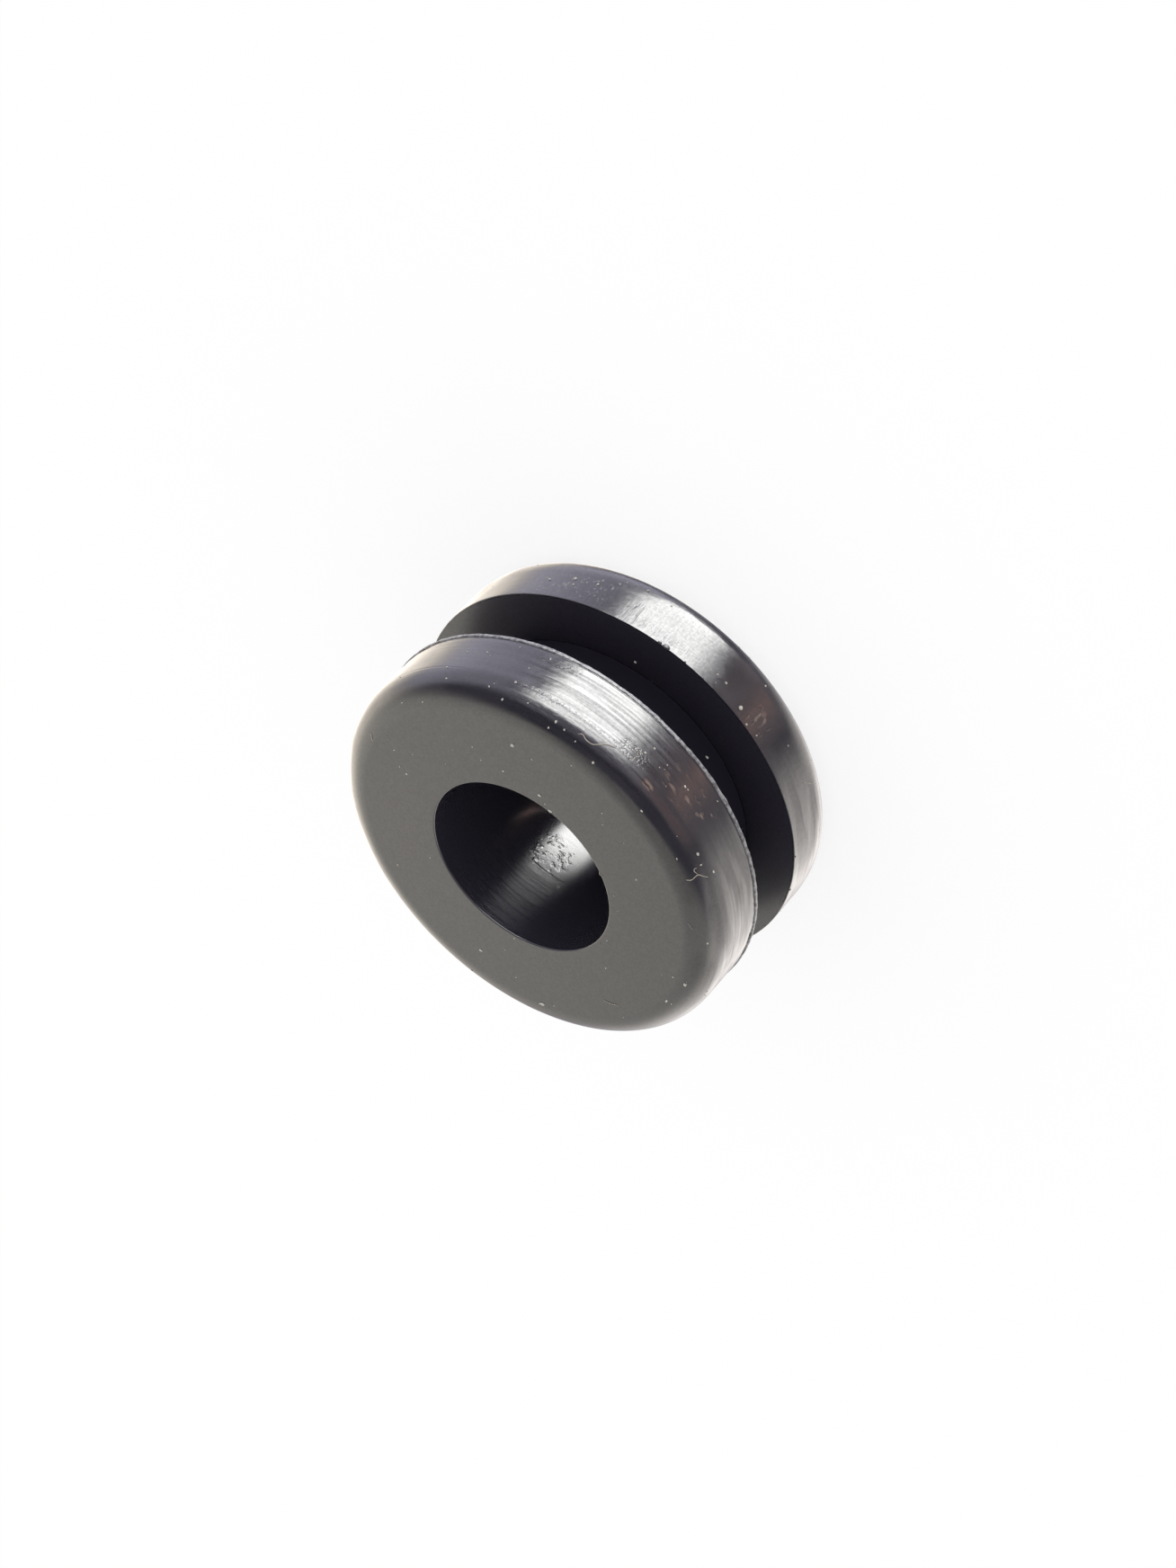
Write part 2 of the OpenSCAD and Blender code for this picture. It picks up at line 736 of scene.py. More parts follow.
    def material(self) -> bpy.types.Material:
        """Builds the finish.

        Returns:
            The finished material.
        """
        made, tree = new_material("moulded_nitrile_rubber_skin")
        place, angle, radius, height = polar(tree)
        groove = self.in_groove(tree, radius, height)
        rounding = SECTION.flange_r - SECTION.outer_rim_r
        rim = add_node(tree, STEP, [radius, rounding, SECTION.flange_r - self.side_soft], **SMOOTH)
        side = product(tree, rim, add_node(tree, MATH, [1.0, groove], operation="SUBTRACT"))
        marks = [self.scuff(tree, patch, place, angle, height, side) for patch in self.scuffs]
        relief = [
            product(tree, noise(tree, place, even(self.grain)), self.grain_depth),
            product(tree, noise(tree, place, even(self.wave), PLAIN), self.wave_depth),
            product(tree, self.turning(tree, place), self.turning_depth, side),
            self.flow(tree, place, angle, side, self.flow_depth),
            self.dimples(tree, place, angle, side),
            *(self.line(tree, line, place, angle, height) for line in self.lines),
            *(product(tree, mark, -patch.depth) for mark, patch in zip(marks, self.scuffs)),
        ]
        self.end(
            tree,
            total(tree, *relief),
            self.roughened(tree, place, radius, groove),
            Specular_IOR_Level=self.sheen(tree, place, angle, radius, height, side, groove),
            Base_Color=self.tone(tree, marks, radius, groove),
        )
        return made

    def in_groove(self, tree: Tree, radius: Source, height: Source) -> Source:
        """Adds a mask of the groove: its two walls and the hub between them.

        Args:
            tree: the material's node tree.
            radius: distance from the axis.
            height: height above the bench.

        Returns:
            The mask.
        """
        middle = (SECTION.groove_top + SECTION.inner_flange_t) / 2
        reach = (SECTION.groove_top - SECTION.inner_flange_t) / 2
        level = band(tree, height, middle, reach + self.groove_over, self.groove_soft)
        start, full = SECTION.flange_r - self.groove_from, SECTION.flange_r - self.groove_full
        return product(tree, level, add_node(tree, STEP, [radius, start, full], **SMOOTH))

    def tone(self, tree: Tree, marks: list[Source], radius: Source, groove: Source) -> Socket:
        """Adds the colour: the black, painted paler in the groove as painted light, and paler where scuffs
        abrade it and where one patch paints a reflection.

        Args:
            tree: the material's node tree.
            marks: a mask for each patch of scuffs, one of which is a painted reflection.
            radius: distance from the axis.
            groove: mask of the groove.

        Returns:
            The socket with the colour.
        """
        # Painted light: the groove is painted paler than the black, and the hub half as much, standing in for
        # light in the groove.
        reach = [SECTION.hub_r, SECTION.hub_r + self.groove_light_reach]
        thickness = add_node(tree, STEP, [radius, *reach, self.groove_light_hub_share, 1.0], **SMOOTH)
        painted_groove_light = product(tree, groove, thickness)
        tones = {SHARE: painted_groove_light, COLOUR_A: linear(self.colour), COLOUR_B: linear(self.groove_painted_light_colour)}
        ground = add_node(tree, MIX, tones, data_type="RGBA").outputs[COLOUR_OUT]
        pale = [product(tree, mark, patch.pale) for mark, patch in zip(marks, self.scuffs) if patch.pale > 0]
        tones = {SHARE: total(tree, *pale), COLOUR_A: ground, COLOUR_B: linear(self.abraded_and_reflection_tone)}
        return add_node(tree, MIX, tones, data_type="RGBA").outputs[COLOUR_OUT]

    def roughened(self, tree: Tree, place: Source, radius: Source, groove: Source) -> bpy.types.Node:
        """Adds the roughness, which varies with handling and is higher on the groove's two walls.

        Args:
            tree: the material's node tree.
            place: the place on the seal, in metres.
            radius: distance from the axis.
            groove: mask of the groove.

        Returns:
            The node with the roughness.
        """
        blotches = noise(tree, place, even(self.blotch), FINE)
        reach = [self.roughness - self.roughness_spread, self.roughness + self.roughness_spread]
        handled = add_node(tree, STEP, [blotches, *self.soft_cut, *reach], **SMOOTH)
        start, full = SECTION.hub_r + self.wall_from, SECTION.hub_r + self.wall_full
        walls = add_node(tree, STEP, [radius, start, full], **SMOOTH)
        dull = product(tree, groove, walls)
        return add_node(tree, MIX, {"Factor": dull, "A": handled, "B": self.groove_roughness})

    def sheen(
        self,
        tree: Tree,
        place: Source,
        angle: Source,
        radius: Source,
        height: Source,
        side: Source,
        groove: Source,
    ) -> Source:
        """Adds the gloss, which streaks, ticks and a fine mottle raise and lower round its plain level.

        Args:
            tree: the material's node tree.
            place: the place on the seal, in metres.
            angle: degrees round the axis.
            radius: distance from the axis.
            height: height above the bench.
            side: mask of the flanges' sides.
            groove: mask of the groove, whose two corners hold packed dust and have no gloss.

        Returns:
            The gloss.
        """
        levels = [self.streak_dulling, self.worn_dulling]
        change = add_node(tree, STEP, [self.worn(tree, angle), 0, 1, *levels], **SMOOTH)
        marks = add_node(tree, STEP, [self.turning(tree, place), *self.turning_cut, -1, 1], **SMOOTH)
        streaks = product(tree, marks, change)
        fine = noise(tree, place, even(self.grain), FINE)
        levels = [-self.mottle_dulling, self.mottle_dulling]
        mottle = add_node(tree, STEP, [fine, *self.soft_cut, *levels], **SMOOTH)
        upright = noise(tree, place, (self.tick, self.tick, self.tick_run))
        levels = [-self.tick_dulling, self.tick_dulling]
        ticks = add_node(tree, STEP, [upright, *self.turning_cut, *levels], **SMOOTH)
        above, below = SECTION.inner_flange_t + self.tick_soft, SECTION.inner_flange_t - self.tick_soft
        inner = add_node(tree, STEP, [height, above, below], **SMOOTH)
        outer = product(tree, side, add_node(tree, MATH, [1.0, inner], operation="SUBTRACT"))
        gloss = total(
            tree,
            product(tree, streaks, outer),
            product(tree, side, inner, ticks),
            self.flow(tree, place, angle, side, self.flow_dulling),
            mottle,
            self.gloss,
        )
        near = band(tree, radius, SECTION.hub_r + self.corner_out, self.corner_half, self.corner_soft)
        corner = product(tree, groove, near)
        return product(tree, gloss, add_node(tree, MATH, [1.0, corner], operation="SUBTRACT"))

    def worn(self, tree: Tree, angle: Source) -> bpy.types.Node:
        """Adds a mask of the sector that rubbed on the housing when the seal was pushed in."""
        half = self.worn_span / 2
        return band(tree, angle, self.worn_angle, half, half / 2)

    def dimples(self, tree: Tree, place: Source, angle: Source, side: Source) -> Source:
        """Adds small long dents in the worn sector, which break up the edge of a mirrored window.

        Args:
            tree: the material's node tree.
            place: the place on the seal, in metres.
            angle: degrees round the axis.
            side: mask of the flanges' sides.

        Returns:
            The relief in millimetres.
        """
        long = self.dimple_long * self.dimple
        dents = product(tree, noise(tree, place, (long, long, self.dimple), PLAIN), self.dimple_depth)
        return product(tree, dents, product(tree, self.worn(tree, angle), side))

    def flow(self, tree: Tree, place: Source, angle: Source, side: Source, size: float) -> Source:
        """Adds the wide flow streaks, kept to their sector.

        Args:
            tree: the material's node tree.
            place: the place on the seal, in metres.
            angle: degrees round the axis.
            side: mask of the flanges' sides.
            size: from the lowest value to the highest.

        Returns:
            The streaks, from minus to plus half the size.
        """
        marks = noise(tree, place, (self.flow_run, self.flow_run, self.flow_pitch), PLAIN)
        streaks = add_node(tree, STEP, [marks, *self.flow_cut, -size / 2, size / 2], **SMOOTH)
        half = self.flow_span / 2
        return product(tree, band(tree, angle, self.flow_angle, half, half), side, streaks)

    def turning(self, tree: Tree, place: Source) -> Socket:
        """Adds the mould's turning marks: noise drawn out round the seal."""
        return noise(tree, place, (self.turning_run, self.turning_run, self.turning_pitch), FINE)

    def line(self, tree: Tree, line: ToolLine, place: Source, angle: Source, height: Source) -> Source:
        """Adds one tool line, which wanders a little and fades at its ends.

        Args:
            tree: the material's node tree.
            line: the tool line.
            place: the place on the seal, in metres.
            angle: degrees round the axis.
            height: height above the bench.

        Returns:
            The relief in millimetres.
        """
        wander = product(tree, noise(tree, place, even(self.line_wander_run), PLAIN), self.line_wander)
        level = add_node(tree, MATH, [height, wander], operation="SUBTRACT")
        across = band(tree, level, line.height - self.line_wander / 2, line.width / 2, line.width)
        half = (line.end - line.start) / 2
        along = band(tree, angle, line.start + half, half, self.line_fade)
        return product(tree, across, along, -line.depth)

    def scuff(
        self, tree: Tree, patch: ScuffAndReflectionPatch, place: Source, angle: Source, height: Source, side: Source
    ) -> Source:
        """Adds a mask of one patch of small marks: noise of their size, cut off low, kept to the patch.

        Args:
            tree: the material's node tree.
            patch: the patch.
            place: the place on the seal, in metres.
            angle: degrees round the axis.
            height: height above the bench.
            side: mask of the flanges' sides.

        Returns:
            The mask.
        """
        marks = noise(tree, place, (patch.mark_round, patch.mark_round, patch.mark_up), PLAIN)
        cut = add_node(tree, STEP, [marks, patch.cut, patch.cut + self.scuff_soft], **SMOOTH)
        half_turn, half_up = patch.angle_span / 2, patch.height_span / 2
        sector = band(tree, angle, patch.angle, half_turn, half_turn)
        level = band(tree, height, patch.height, half_up, half_up)
        return product(tree, sector, level, side, cut)


@dataclass(frozen=True)
class BoreSkin(Rubber):
    """Wall of the bore: rubber moulded on a polished core pin, so it is glossier, with a band of pits.

    It gives the eye a deep black, painted paler than the outside's black as painted light, with one sharp
    window in it, and a faint haze round that window.
    Lengths are in millimetres and angles in degrees. A cut is the low and the high level between which
    a pattern's noise is stretched.
    """

    # Painted light: the bore's black is painted paler than the outside's, standing in for light that the
    # bore's shade takes away.
    colour: str = "#2A2932"
    roughness: float = 0.26
    brushed: float = 0.6  # light spreads across the pin's turning marks, up and down the wall
    quarter_turn: float = 0.25  # from round the axis to along it
    gloss: float = 0.46
    gloss_spread: float = 0.02
    scratched_spread: float = 0.12  # the same above the pits, where the core pin was scratched
    scratched_under: float = 0.1  # below the nick, where the scratches start
    scratched_over: float = 0.2  # above it, where they are full
    coat: float = 0.8
    coat_roughness: float = 0.10
    pit: float = 0.30
    pit_cut: tuple[float, float] = (0.46, 0.72)
    pit_depth: float = 0.014
    pit_dulling: float = 0.1
    pits_angle: float = 188.0
    pits_span: float = 20.0
    pits_middle: float = 5.5  # above the bench
    pits_height: float = 1.8
    nick_height: float = 6.42  # a fine nick just over the pits
    nick_width: float = 0.035
    nick_depth: float = 0.018
    nick_angle: float = 193.0
    nick_span: float = 22.0
    nick_fade: float = 4.0
    scratch: float = 0.13  # between the core pin's turning marks
    scratch_run: float = 2.5
    scratch_cut: tuple[float, float] = (0.38, 0.62)
    grain: float = 0.5
    grain_depth: float = 0.0015

    def material(self) -> bpy.types.Material:
        """Builds the finish.

        Returns:
            The finished material.
        """
        made, tree = new_material("core_pin_moulded_rubber")
        place, angle, _, height = polar(tree)
        round_axis = add_node(tree, MATH, [angle, FULL_DEGREES, 0.0], operation="WRAP")
        pits = self.pits(tree, place, round_axis, height)
        grain = product(tree, noise(tree, place, even(self.grain)), self.grain_depth)
        relief = [product(tree, pits, -self.pit_depth), self.nick(tree, round_axis, height), grain]
        around = add_node(tree, "ShaderNodeTangent", direction_type="RADIAL", axis="Z")
        self.end(
            tree,
            total(tree, *relief),
            self.roughness,
            Specular_IOR_Level=self.sheen(tree, place, height),
            Anisotropic=self.brushed,
            Anisotropic_Rotation=self.quarter_turn,
            Tangent=around,
            Coat_Weight=total(tree, product(tree, pits, -self.pit_dulling), self.coat),
            Coat_Roughness=self.coat_roughness,
        )
        return made

    def pits(self, tree: Tree, place: Source, round_axis: Source, height: Source) -> Source:
        """Adds a mask of the pits, kept to their sector and their level.

        Args:
            tree: the material's node tree.
            place: the place on the seal, in metres.
            round_axis: degrees round the axis, from 0 to 360.
            height: height above the bench.

        Returns:
            The mask.
        """
        blobs = noise(tree, place, even(self.pit), FINEST)
        pits = add_node(tree, STEP, [blobs, *self.pit_cut], **SMOOTH)
        level = band(tree, height, self.pits_middle, self.pits_height / 2, self.pits_height / 2)
        sector = band(tree, round_axis, self.pits_angle, self.pits_span / 2, self.pits_span / 2)
        return product(tree, level, sector, pits)

    def nick(self, tree: Tree, round_axis: Source, height: Source) -> Source:
        """Adds the fine nick over the pits.

        Args:
            tree: the material's node tree.
            round_axis: degrees round the axis, from 0 to 360.
            height: height above the bench.

        Returns:
            The relief in millimetres.
        """
        across = band(tree, height, self.nick_height, self.nick_width / 2, self.nick_width)
        along = band(tree, round_axis, self.nick_angle, self.nick_span / 2, self.nick_fade)
        return product(tree, across, along, -self.nick_depth)

    def sheen(self, tree: Tree, place: Source, height: Source) -> Source:
        """Adds the gloss, streaked by the core pin's marks, more so above the pits.

        Args:
            tree: the material's node tree.
            place: the place on the seal, in metres.
            height: height above the bench.

        Returns:
            The gloss.
        """
        marks = noise(tree, place, (self.scratch_run, self.scratch_run, self.scratch), FINE)
        start, full = self.nick_height - self.scratched_under, self.nick_height + self.scratched_over
        levels = [self.gloss_spread, self.scratched_spread]
        spread = add_node(tree, STEP, [height, start, full, *levels], **SMOOTH)
        streaks = add_node(tree, STEP, [marks, *self.scratch_cut, -1, 1], **SMOOTH)
        return total(tree, product(tree, streaks, spread), self.gloss)


@dataclass(frozen=True)
class TornFlash(Rubber):
    """Rubber torn off at the parting line: dull, greyer and ragged, because a torn skin scatters light."""

    name: str = "torn_rubber_flash"
    colour: str = "#828285"
    deep: str = "#4A494E"
    roughness: float = 0.50
    crumb: float = 0.13  # mm
    crumb_depth: float = 0.014
    tear: float = 0.20  # mm, patches where the tear is deep and dark
    tear_cut: tuple[float, float] = (0.42, 0.58)  # levels between which the patches' noise is stretched

    def material(self) -> bpy.types.Material:
        """Builds the finish.

        Returns:
            The finished material.
        """
        made, tree = new_material(self.name)
        place = polar(tree)[0]
        crumbs = product(tree, noise(tree, place, even(self.crumb), FINE), self.crumb_depth)
        patches = noise(tree, place, even(self.tear), FINE)
        tears = add_node(tree, STEP, [patches, *self.tear_cut], **SMOOTH)
        tones = {SHARE: tears, COLOUR_A: linear(self.deep), COLOUR_B: linear(self.colour)}
        tone = add_node(tree, MIX, tones, data_type="RGBA").outputs[COLOUR_OUT]
        self.end(tree, crumbs, self.roughness, Base_Color=tone)
        return made


@dataclass(frozen=True)
class BenchDust:
    """Pale mineral dust and paper lint from the bench: matt and light, so each bit shows on the black."""

    name: str
    colour: str
    roughness: float = 0.7
    mottle: float = 0.05  # mm
    shade: str = "#8C877F"

    def material(self) -> bpy.types.Material:
        """Builds the finish.

        Returns:
            The finished material.
        """
        made, tree = new_material(self.name)
        place = add_node(tree, "ShaderNodeTexCoord").outputs["Object"]
        scale = 1 / (MM * self.mottle)
        specks = add_node(tree, "ShaderNodeTexNoise", {"Vector": place, "Scale": scale}).outputs["Fac"]
        tones = {SHARE: specks, COLOUR_A: linear(self.shade), COLOUR_B: linear(self.colour)}
        tone = add_node(tree, MIX, tones, data_type="RGBA").outputs[COLOUR_OUT]
        inputs = {"Base Color": tone, "Roughness": self.roughness}
        shader = add_node(tree, "ShaderNodeBsdfPrincipled", inputs)
        add_node(tree, "ShaderNodeOutputMaterial", {"Surface": shader})
        return made


# --------------------------------------------------------------------------------------------------
# The seal
# --------------------------------------------------------------------------------------------------


@dataclass
class SealBody:
    """The rubber ring itself: hub, two flanges, groove and bore, turned from one section. Millimetres."""

    seam_above: float = 0.21  # of the parting line over the groove's upper wall
    seam_w: float = 0.045
    seam_depth: float = 0.02
    steps: int = 576  # round the ring; past 602 the piece would have over 200,000 triangles
    rim_reach: float = 1.133  # roundings start gently, so they reach further than a plain arc
    rim_profile: float = 0.55
    rim_segments: int = 26
    edge_segments: int = 3
    root_segments: int = 4
    longest_run: float = 1.2  # of the outline, past which it gets more points
    run_cuts: int = 7
    edge_ring: float = 0.07
    edge_share: float = 0.9  # of that ring's width, which is trimmed unevenly
    edge_ragged: float = 0.02
    edge_lump: float = 0.24
    smooth_below: float = 50.0  # degrees between faces, under which an edge is shaded smooth

    @property
    def seam_z(self) -> float:
        """Height of the crack along the parting line."""
        return SECTION.groove_top + self.seam_above

    def section(self) -> bpy.types.Object:
        """Models the half section as one flat face in the XZ plane, then leaves only its outline.

        Returns:
            The object, in edit mode, as a closed outline.
        """
        wall = SECTION.hub_r - SECTION.bore_r
        shape = flat_plate(wall, SECTION.height)
        stand(shape, (SECTION.hub_r + SECTION.bore_r) / 2, SECTION.height / 2)
        bpy.ops.object.mode_set(mode="EDIT")
        for level in (SECTION.inner_flange_t, SECTION.groove_top):
            self.cut(level)
        reach = SECTION.flange_r - SECTION.hub_r
        for low, high in ((0, SECTION.inner_flange_t), (SECTION.groove_top, SECTION.height)):
            select_edges(lambda a, b: self.on_side(a, b, SECTION.hub_r, low, high))
            bpy.ops.mesh.extrude_region_move(TRANSFORM_OT_translate={"value": (reach, 0, 0)})
        for level in (self.seam_z - self.seam_w / 2, self.seam_z, self.seam_z + self.seam_w / 2):
            self.cut(level)
        merge_faces()
        for radius, level, rounding, segments in self.corners():
            select_vertices(lambda p: abs(p.x - radius) < TOUCH and abs(p.z - level) < TOUCH)
            bpy.ops.mesh.bevel(
                offset=rounding * self.rim_reach,
                segments=segments,
                affect="VERTICES",
                clamp_overlap=False,
                profile=self.rim_profile,
            )
        # One more ring close to the groove edge keeps the trimmed edge's unevenness out of the wall.
        select_all_parts()
        near_edge = SECTION.flange_r - self.edge_ring
        bpy.ops.mesh.bisect(plane_co=(near_edge, 0, 0), plane_no=(1, 0, 0), threshold=CUT_TOUCH)
        merge_faces()
        select_vertices(lambda p: abs(p.x - SECTION.flange_r) < TOUCH and abs(p.z - self.seam_z) < TOUCH)
        bpy.ops.transform.translate(value=(-self.seam_depth, 0, 0))
        keep_outline()
        return shape

    def corners(self) -> list[tuple[float, float, float, int]]:
        """Lists the section's corners.

        Returns:
            Each one's radius, height, rounding and number of segments.
        """
        top, low = SECTION.groove_top, SECTION.inner_flange_t
        return [
            (SECTION.flange_r, SECTION.height, SECTION.outer_rim_r, self.rim_segments),
            (SECTION.flange_r, 0, SECTION.inner_rim_r, self.rim_segments),
            (SECTION.flange_r, top, SECTION.groove_edge_r, self.edge_segments),
            (SECTION.flange_r, low, SECTION.groove_edge_r, self.edge_segments),
            (SECTION.hub_r, low, SECTION.root_r, self.root_segments),
            (SECTION.hub_r, top, SECTION.root_r, self.root_segments),
            (SECTION.bore_r, SECTION.height, SECTION.bore_edge_r, self.root_segments),
            (SECTION.bore_r, 0, SECTION.bore_edge_r, self.root_segments),
        ]

    def cut(self, level: float) -> None:
        """Cuts the section across at a height."""
        select_all_parts()
        bpy.ops.mesh.bisect(plane_co=(0, 0, level), plane_no=(0, 0, 1), threshold=CUT_TOUCH)

    @staticmethod
    def on_side(a: Vector, b: Vector, radius: float, low: float, high: float) -> bool:
        """Tells whether an edge lies on the upright line at a radius, between two heights.

        Args:
            a: the place of the edge's first end.
            b: the place of its second end.
            radius: where the line is.
            low: the lower height.
            high: the upper height.

        Returns:
            True where the edge lies there.
        """
        upright = abs(a.x - radius) < TOUCH and abs(b.x - radius) < TOUCH
        return upright and low - TOUCH < (a.z + b.z) / 2 < high + TOUCH

    def subdivide_straights(self) -> None:
        """Gives the outline's long straight runs more points, so that light runs evenly over them."""
        select_edges(lambda a, b: (a - b).length > self.longest_run)
        bpy.ops.mesh.subdivide(number_cuts=self.run_cuts)

    def roughen_edge(self, ring: bpy.types.Object) -> None:
        """Makes the inner flange's groove edge slightly uneven, as trimmed rubber is.

        Args:
            ring: the turned ring.
        """
        reach = self.edge_ring * self.edge_share
        near = [
            v.index
            for v in ring.data.vertices
            if abs(v.co.z - SECTION.inner_flange_t) < reach
            and math.hypot(v.co.x, v.co.y) > SECTION.flange_r - reach
        ]
        group = ring.vertex_groups.new(name="groove_edge")
        group.add(near, 1.0, "REPLACE")
        displace(ring, self.edge_lump, self.edge_ragged, group=group.name)
        apply_modifiers(ring)

    def build(self, skin: bpy.types.Material, bore: bpy.types.Material) -> bpy.types.Object:
        """Turns the section round the axis and finishes the ring.

        Args:
            skin: the outside's finish.
            bore: the bore's finish.

        Returns:
            The piece.
        """
        ring = self.section()
        self.subdivide_straights()
        bpy.ops.object.mode_set(mode="OBJECT")
        turn_round_axis(ring, self.steps)
        self.roughen_edge(ring)
        ring.data.materials.append(skin)
        ring.data.materials.append(bore)
        bpy.ops.object.mode_set(mode="EDIT")
        select_vertices(lambda p: math.hypot(p.x, p.y) < SECTION.bore_r + SECTION.bore_edge_r / 2)
        ring.active_material_index = 1
        bpy.ops.object.material_slot_assign()
        bpy.ops.object.mode_set(mode="OBJECT")
        bpy.ops.object.shade_smooth_by_angle(angle=math.radians(self.smooth_below))
        # Flat faces keep their own normal, so that no faint ring shows where a rounding starts.
        weighted = ring.modifiers.new("even_light", "WEIGHTED_NORMAL")
        weighted.keep_sharp = True
        apply_modifiers(ring)
        made = finish_piece(ring, "seal_body", skin)
        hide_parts(CAD_NODE)
        return made


@dataclass
class PartingFlash:
    """The thin torn ring that the mould's parting line leaves along the outer flange's groove edge.

    Lengths are in millimetres.
    """

    width: float = 0.185
    proud: float = 0.05
    sunk: float = 0.18
    corner: float = 0.04
    corner_segments: int = 2
    side_cuts: int = 2  # so that the lumps move the middle of a side as well
    steps: int = 1080
    smooth_below: float = 60.0  # degrees between faces, under which an edge is shaded smooth
    lumps: tuple[tuple[float, float, Way], ...] = (  # mm: size and height, and the way they move the ring
        (1.5, 0.09, Way.UPWARD),
        (0.45, 0.035, Way.OUTWARD),
        (0.11, 0.03, Way.OUTWARD),
    )

    def build(self, finish: bpy.types.Material) -> bpy.types.Object:
        """Turns a small ragged section round the axis.

        Args:
            finish: the torn rubber.

        Returns:
            The piece.
        """
        deep = self.proud + self.sunk
        outline = flat_plate(deep, self.width)
        bpy.ops.mesh.subdivide(number_cuts=self.side_cuts)
        merge_faces()
        select_vertices(lambda p: p.x > deep / 2 - TOUCH and abs(p.y) > self.width / 2 - TOUCH)
        bpy.ops.mesh.bevel(
            offset=self.corner, segments=self.corner_segments, affect="VERTICES", clamp_overlap=False
        )
        keep_outline()
        middle = SECTION.flange_r + self.proud - deep / 2
        stand(outline, middle, SECTION.groove_top + self.width / 2 - self.corner / 2)
        turn_round_axis(outline, self.steps)
        for size, height, way in self.lumps:
            displace(outline, size, height, way=way)
        apply_modifiers(outline)
        bpy.ops.object.shade_smooth_by_angle(angle=math.radians(self.smooth_below))
        return finish_piece(outline, "parting_flash", finish)


@dataclass(frozen=True)
class Nub:
    """A small torn lump on a groove edge: where it sits and its length, height and depth. Millimetres."""

    zone: Zone
    angle: float
    along: float
    size: tuple[float, float, float]


@dataclass
class EdgeNubs:
    """The lumps that trimming left on the groove's edges, the largest on the inner flange.

    Each has finer lumps on it, a given distance apart and a given height, in millimetres.
    """

    nubs: tuple[Nub, ...] = (
        Nub(Zone.INNER_BAND, 11, 3.4, (0.38, 0.24, 0.20)),
        Nub(Zone.INNER_BAND, 13, 3.4, (0.22, 0.14, 0.14)),
        Nub(Zone.INNER_BAND, 5, 3.4, (0.12, 0.06, 0.06)),
        Nub(Zone.INNER_BAND, -1, 3.4, (0.16, 0.05, 0.05)),
        Nub(Zone.INNER_BAND, -59, 3.4, (0.13, 0.08, 0.06)),
        Nub(Zone.INNER_BAND, -72, 3.4, (0.12, 0.07, 0.06)),
        Nub(Zone.INNER_BAND, 150, 3.4, (0.18, 0.10, 0.08)),
        Nub(Zone.OUTER_BAND, 45, 6.7, (0.20, 0.09, 0.08)),
        Nub(Zone.OUTER_BAND, 37, 6.7, (0.18, 0.10, 0.09)),
        Nub(Zone.OUTER_BAND, 9, 6.7, (0.20, 0.12, 0.10)),
        Nub(Zone.OUTER_BAND, 1, 6.7, (0.15, 0.10, 0.10)),
        Nub(Zone.OUTER_BAND, -15, 6.7, (0.16, 0.10, 0.08)),
        Nub(Zone.HUB, -54, 3.8, (0.10, 0.30, 0.05)),
    )
    lump: float = 0.09
    lump_height: float = 0.05

    def build(self, finish: bpy.types.Material) -> bpy.types.Object:
        """Models one ragged lump for each nub and joins them.

        Args:
            finish: the torn rubber.

        Returns:
            The piece.
        """
        made = [
            grain_at(nub.zone, nub.angle, nub.along, nub.size, self.lump, self.lump_height)
            for nub in self.nubs
        ]
        return finish_piece(join(made), "edge_nubs", finish)


# --------------------------------------------------------------------------------------------------
# Dust and lint
# --------------------------------------------------------------------------------------------------


@dataclass(frozen=True)
class Fleck:
    """One speck of dust: the surface it lies on, its place there and its size in millimetres."""

    zone: Zone
    angle: float
    along: float
    size: float
    long: float = 1.0  # length over width


